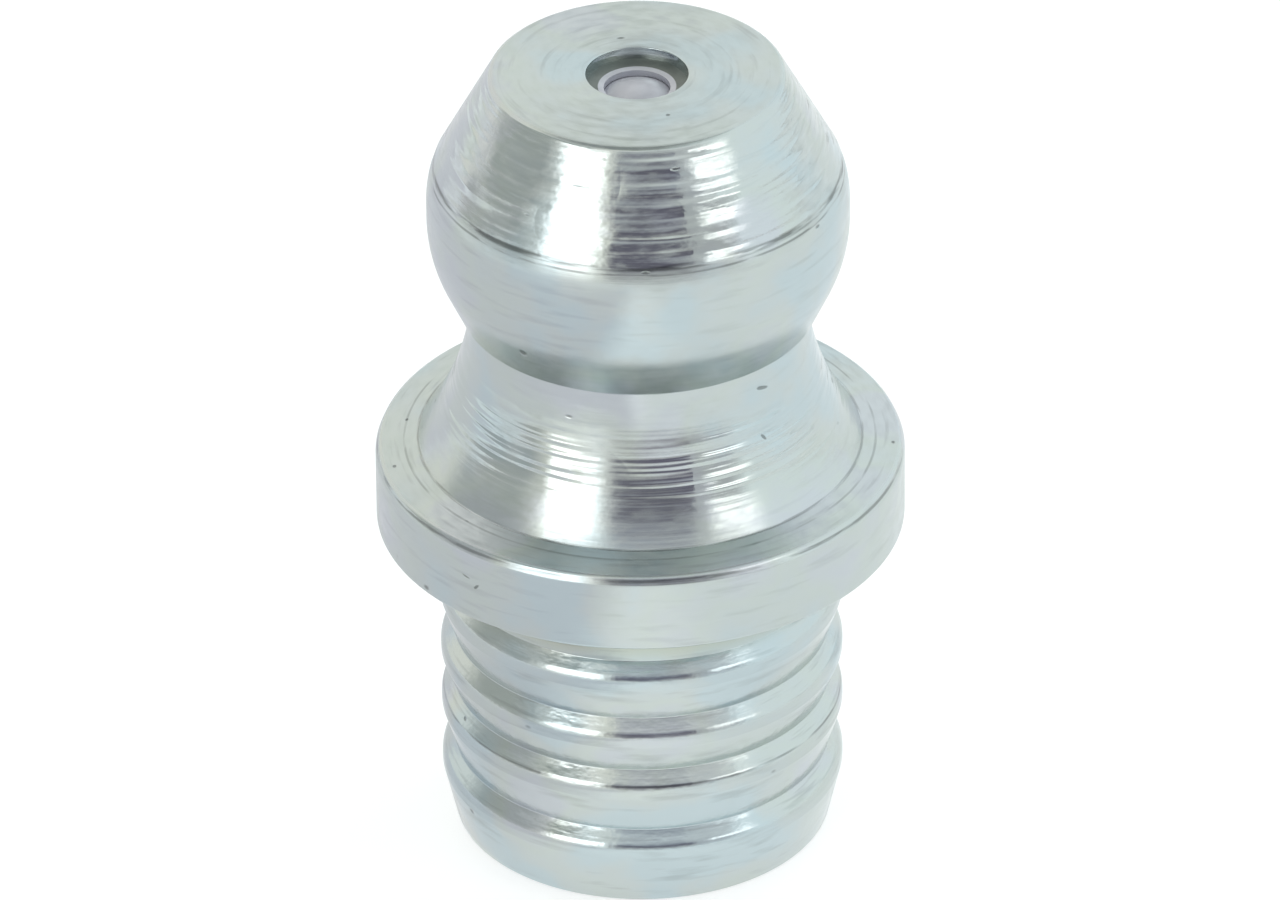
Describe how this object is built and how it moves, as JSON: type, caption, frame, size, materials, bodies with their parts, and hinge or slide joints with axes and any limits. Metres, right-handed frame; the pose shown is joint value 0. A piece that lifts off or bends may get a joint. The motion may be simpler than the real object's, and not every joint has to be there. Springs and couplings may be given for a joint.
{
  "type": "grease nipple",
  "caption": "Straight drive-in grease nipple: round coupler head, waisted neck, collar and barbed press-in shank, with a spring-loaded check ball inside.",
  "frame": {"origin": "on the nipple's axis, in the plane of the collar's underside, which stops on the machine", "axes": "+Z along the nipple's axis, from the barbed shank to the head; it is a body of revolution, so X and Y are free"},
  "size_m": [0.0082, 0.0082, 0.0131],
  "materials": {
    "zinc_plated_steel": "bright zinc plating over turned steel",
    "bearing_steel": "polished hardened steel",
    "spring_wire": "drawn spring wire"
  },
  "bodies": {
    "nipple": {"nipple_body": "zinc_plated_steel", "valve_spring": "spring_wire"},
    "ball": {"check_ball": "bearing_steel"}
  },
  "joints": [
    {"name": "valve_lift", "type": "slide", "parent": "nipple", "child": "ball", "axis": [0, 0, -1], "range_m": [0, 0.0008], "stiffness_N_per_m": 1100, "springref_m": -0.0004, "deforming": ["valve_spring"]}
  ]
}
